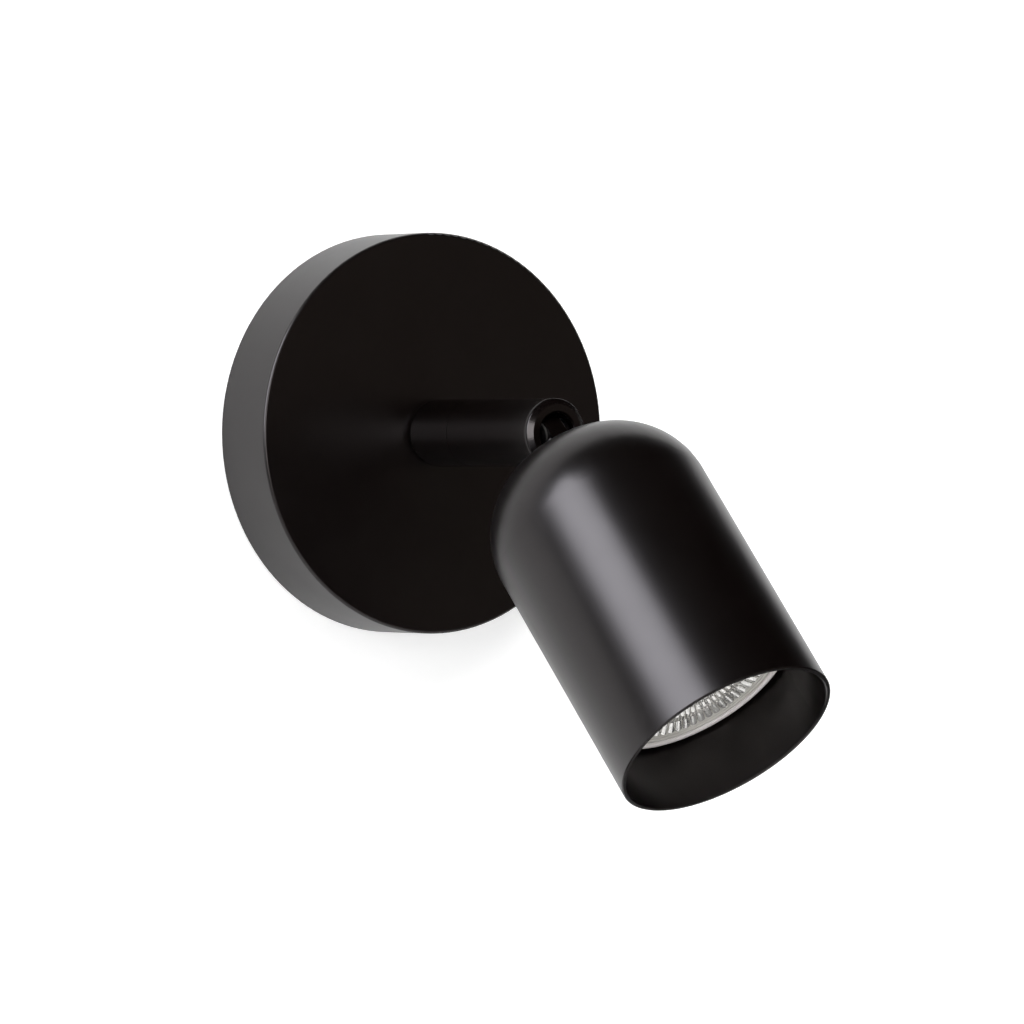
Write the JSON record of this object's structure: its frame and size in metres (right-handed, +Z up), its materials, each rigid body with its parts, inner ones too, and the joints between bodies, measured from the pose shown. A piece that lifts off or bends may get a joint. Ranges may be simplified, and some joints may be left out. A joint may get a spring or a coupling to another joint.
{
  "type": "pivoting spotlight wall light",
  "caption": "Wall spotlight with a round shallow canopy, a short turning arm and a tilting round-topped cylinder shade that holds a recessed reflector lamp.",
  "frame": {"origin": "centre of the canopy's back, on the wall and on the arm's axis", "axes": "+Z up along the wall, +Y into the wall, so the light stands out along -Y; +X to the right as seen from the room"},
  "size_m": [0.1, 0.152, 0.141],
  "materials": {
    "black_lacquer": "satin",
    "black_steel": "satin",
    "zinc_steel": "satin",
    "brass": "satin",
    "black_rubber": "matte",
    "natural_nylon": "matte",
    "white_plastic": "matte",
    "steatite": "satin",
    "lamp_white": "gloss",
    "lens_plastic": "gloss",
    "board": "matte",
    "live_sleeve": "satin",
    "neutral_sleeve": "satin",
    "earth_sleeve": "satin"
  },
  "bodies": {
    "wall_base": {"wall_bracket": "zinc_steel", "canopy": "black_lacquer", "canopy_screws": "black_steel", "cable_grommet": "black_rubber", "terminal_block": "white_plastic", "terminal_sleeves": "brass", "terminal_screws": "zinc_steel", "terminal_fixing_screw": "zinc_steel", "earth_screw": "brass", "earth_washer": "zinc_steel", "earth_ring_tag": "brass", "earth_lead": "earth_sleeve", "live_lead_canopy": "live_sleeve", "neutral_lead_canopy": "neutral_sleeve", "swivel_collar": "black_lacquer", "swivel_friction_ring": "natural_nylon", "collar_washer": "zinc_steel", "collar_nut": "zinc_steel"},
    "arm": {"arm_tube": "black_lacquer", "swivel_grub_screw": "black_steel", "pivot_screw": "black_steel", "pivot_spacers": "black_steel", "pivot_friction_washers": "natural_nylon", "live_lead_arm": "live_sleeve", "neutral_lead_arm": "neutral_sleeve"},
    "head": {"knuckle_stem": "black_lacquer", "shade": "black_lacquer", "crown_washer": "zinc_steel", "stem_nut": "zinc_steel", "holder_bracket": "zinc_steel", "holder_screws": "zinc_steel", "lampholder": "steatite", "lampholder_contacts": "brass", "live_lead_head": "live_sleeve", "neutral_lead_head": "neutral_sleeve"},
    "lamp": {"lamp_base": "lamp_white", "lamp_pins": "zinc_steel", "lamp_housing": "lamp_white", "led_board": "board", "lamp_lens": "lens_plastic", "lamp_bezel": "lamp_white"}
  },
  "joints": [
    {"name": "arm_pan", "type": "hinge", "parent": "wall_base", "child": "arm", "pos_m": [0, -0.045, 0], "axis": [0, -1, 0], "range_deg": [-169, 151]},
    {"name": "head_tilt", "type": "hinge", "parent": "arm", "child": "head", "pos_m": [0, -0.0712, 0], "axis": [0.9877, 0, 0.1564], "range_deg": [-63.5, 26.5]},
    {"name": "lamp_twist", "type": "hinge", "parent": "head", "child": "lamp", "pos_m": [0, -0.0712, 0], "axis": [0.1224, -0.6225, -0.773], "range_deg": [0, 20]}
  ]
}
